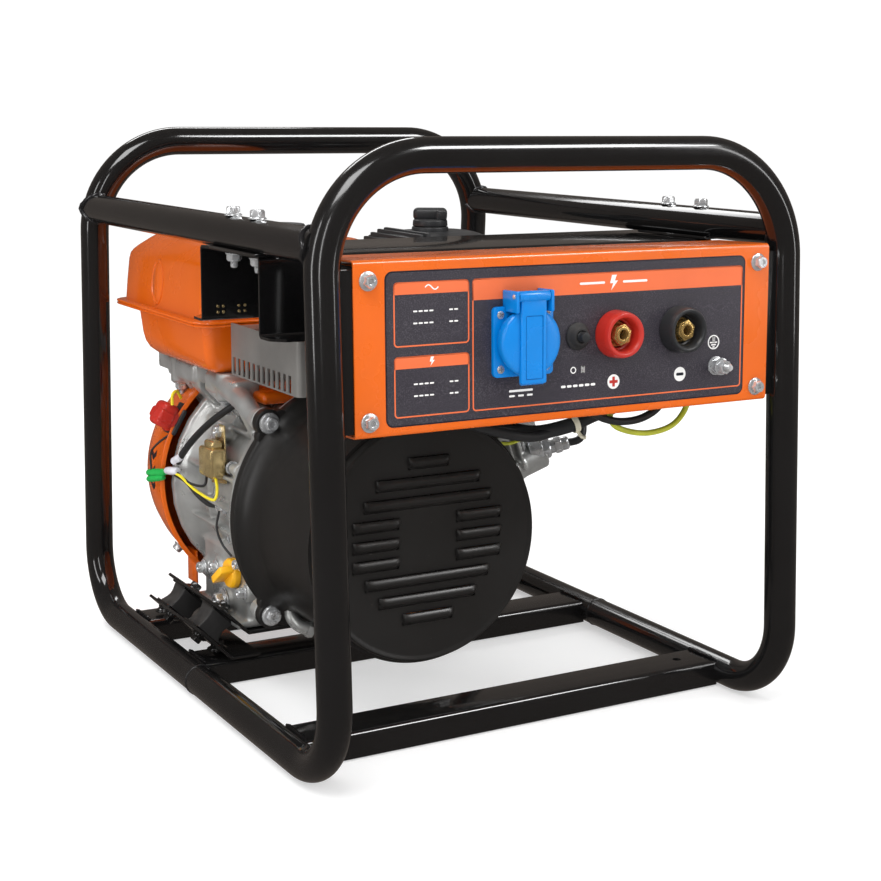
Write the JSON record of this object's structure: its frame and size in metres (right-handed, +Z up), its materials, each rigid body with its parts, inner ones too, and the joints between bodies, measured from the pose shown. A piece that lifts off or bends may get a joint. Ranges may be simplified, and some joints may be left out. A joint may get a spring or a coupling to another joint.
{
  "type": "engine driven welder",
  "caption": "Open tube frame carrying a petrol engine, alternator and control panel for welding and site power.",
  "frame": {"origin": "on the ground under the middle of the frame", "axes": "+X to the right of the control panel, +Y from the control panel towards the recoil starter, +Z up"},
  "size_m": [0.423, 0.5286, 0.457],
  "materials": {
    "black_paint": "gloss",
    "orange_paint": "gloss",
    "satin_black": "satin",
    "cast_aluminium": "cast",
    "bright_steel": "machined",
    "stator_core": "lacquered",
    "zinc_plate": "zinc plated",
    "brass": "machined",
    "grey_sheet": "satin",
    "black_plastic": "satin",
    "blue_plastic": "satin",
    "red_plastic": "gloss",
    "yellow_plastic": "gloss",
    "rubber": "matte",
    "earth_wire": "satin"
  },
  "bodies": {
    "chassis": {"air_cleaner_cover": "black_plastic", "alternator_end_cover": "satin_black", "alternator_housing": "satin_black", "breaker_body": "black_plastic", "bridge_bracket": "black_paint", "carburettor": "cast_aluminium", "control_box": "black_paint", "control_panel": "orange_paint", "crankcase": "cast_aluminium", "crankcase_cover": "cast_aluminium", "cylinder_head": "cast_aluminium", "earth_lead": "earth_wire", "earth_stud": "zinc_plate", "engine_base_plate": "black_paint", "fan_shroud": "orange_paint", "front_crossmember": "black_paint", "front_hoop": "black_paint", "fuel_tank": "orange_paint", "lower_bracket_left": "black_paint", "lower_bracket_right": "black_paint", "middle_crossmember": "black_paint", "mount_block_left_front": "rubber", "mount_block_left_rear": "rubber", "mount_block_right_front": "rubber", "mount_block_right_rear": "rubber", "muffler": "grey_sheet", "muffler_guard": "grey_sheet", "negative_insert": "brass", "negative_terminal": "black_plastic", "output_harness": "black_plastic", "positive_insert": "brass", "positive_terminal": "red_plastic", "rail_bolt_left_front": "zinc_plate", "rail_bolt_left_rear": "zinc_plate", "rail_bolt_right_front": "zinc_plate", "rail_bolt_right_rear": "zinc_plate", "rear_crossmember": "black_paint", "rear_hoop": "black_paint", "recoil_cover": "orange_paint", "rectifier": "cast_aluminium", "rocker_cover": "zinc_plate", "socket_base": "blue_plastic", "stator": "stator_core", "upper_rail_left": "black_paint", "upper_rail_right": "black_paint"},
    "crank_train": {"crankshaft": "bright_steel", "rotor": "bright_steel", "flywheel": "cast_aluminium"},
    "socket_flap": {"socket_flap": "blue_plastic"},
    "breaker_button": {"breaker_button": "black_plastic"},
    "ignition_knob": {"ignition_knob": "red_plastic"},
    "fuel_cap": {"fuel_cap": "black_plastic"},
    "air_cleaner_knob": {"air_cleaner_knob": "black_plastic"},
    "oil_dipstick": {"oil_dipstick": "yellow_plastic"},
    "choke_lever": {"choke_lever": "black_plastic"},
    "fuel_valve_lever": {"fuel_valve_lever": "black_plastic"},
    "throttle_lever": {"throttle_lever": "black_plastic"},
    "recoil_pulley": {"recoil_pulley": "black_plastic"},
    "recoil_grip": {"recoil_grip": "black_plastic"}
  },
  "joints": [
    {"name": "crank_spin", "type": "hinge", "parent": "chassis", "child": "crank_train", "pos_m": [-0.072, 0, 0.1505], "axis": [0, 1, 0], "continuous": true},
    {"name": "flap_hinge", "type": "hinge", "parent": "chassis", "child": "socket_flap", "pos_m": [-0.047, -0.25822, 0.34794], "axis": [-1, 0, 0], "range_deg": [0, 115], "stiffness_Nm_per_rad": 0.02, "springref_deg": -22.92},
    {"name": "breaker_push", "type": "slide", "parent": "chassis", "child": "breaker_button", "axis": [0, 0.9995, -0.03], "range_m": [0, 0.003], "stiffness_N_per_m": 600, "springref_m": -0.001},
    {"name": "ignition_turn", "type": "hinge", "parent": "chassis", "child": "ignition_knob", "pos_m": [-0.16553, 0.1385, 0.2045], "axis": [-0.866, 0, 0.5], "range_deg": [0, 60]},
    {"name": "fuel_cap_turn", "type": "hinge", "parent": "chassis", "child": "fuel_cap", "pos_m": [-0.075, 0.105, 0.3765], "axis": [0, 0, 1], "range_deg": [0, 120]},
    {"name": "cleaner_knob_turn", "type": "hinge", "parent": "chassis", "child": "air_cleaner_knob", "pos_m": [0.072, 0.1, 0.3703], "axis": [0, 0, 1], "range_deg": [0, 720]},
    {"name": "dipstick_turn", "type": "hinge", "parent": "chassis", "child": "oil_dipstick", "pos_m": [-0.15, 0.038, 0.088], "axis": [-1, 0, 0], "range_deg": [0, 720]},
    {"name": "choke_swing", "type": "hinge", "parent": "chassis", "child": "choke_lever", "pos_m": [0.098, 0.1494, 0.247], "axis": [0, 1, 0], "range_deg": [0, 60]},
    {"name": "fuel_valve_swing", "type": "hinge", "parent": "chassis", "child": "fuel_valve_lever", "pos_m": [0.102, 0.1494, 0.2205], "axis": [0, 1, 0], "range_deg": [0, 60]},
    {"name": "throttle_swing", "type": "hinge", "parent": "chassis", "child": "throttle_lever", "pos_m": [0.03, 0.1754, 0.196], "axis": [0, 1, 0], "range_deg": [0, 50]},
    {"name": "recoil_pull", "type": "slide", "parent": "chassis", "child": "recoil_grip", "axis": [0.3, 0.9001, 0.316], "range_m": [0, 0.5], "stiffness_N_per_m": 20, "springref_m": -0.05},
    {"name": "recoil_turn", "type": "hinge", "parent": "chassis", "child": "recoil_pulley", "pos_m": [-0.072, 0.2145, 0.1505], "axis": [0, 1, 0], "range_deg": [0, 700]}
  ],
  "couplings": [
    {"joint": "recoil_turn", "follows": "recoil_pull", "rad_per_m": 24}
  ]
}
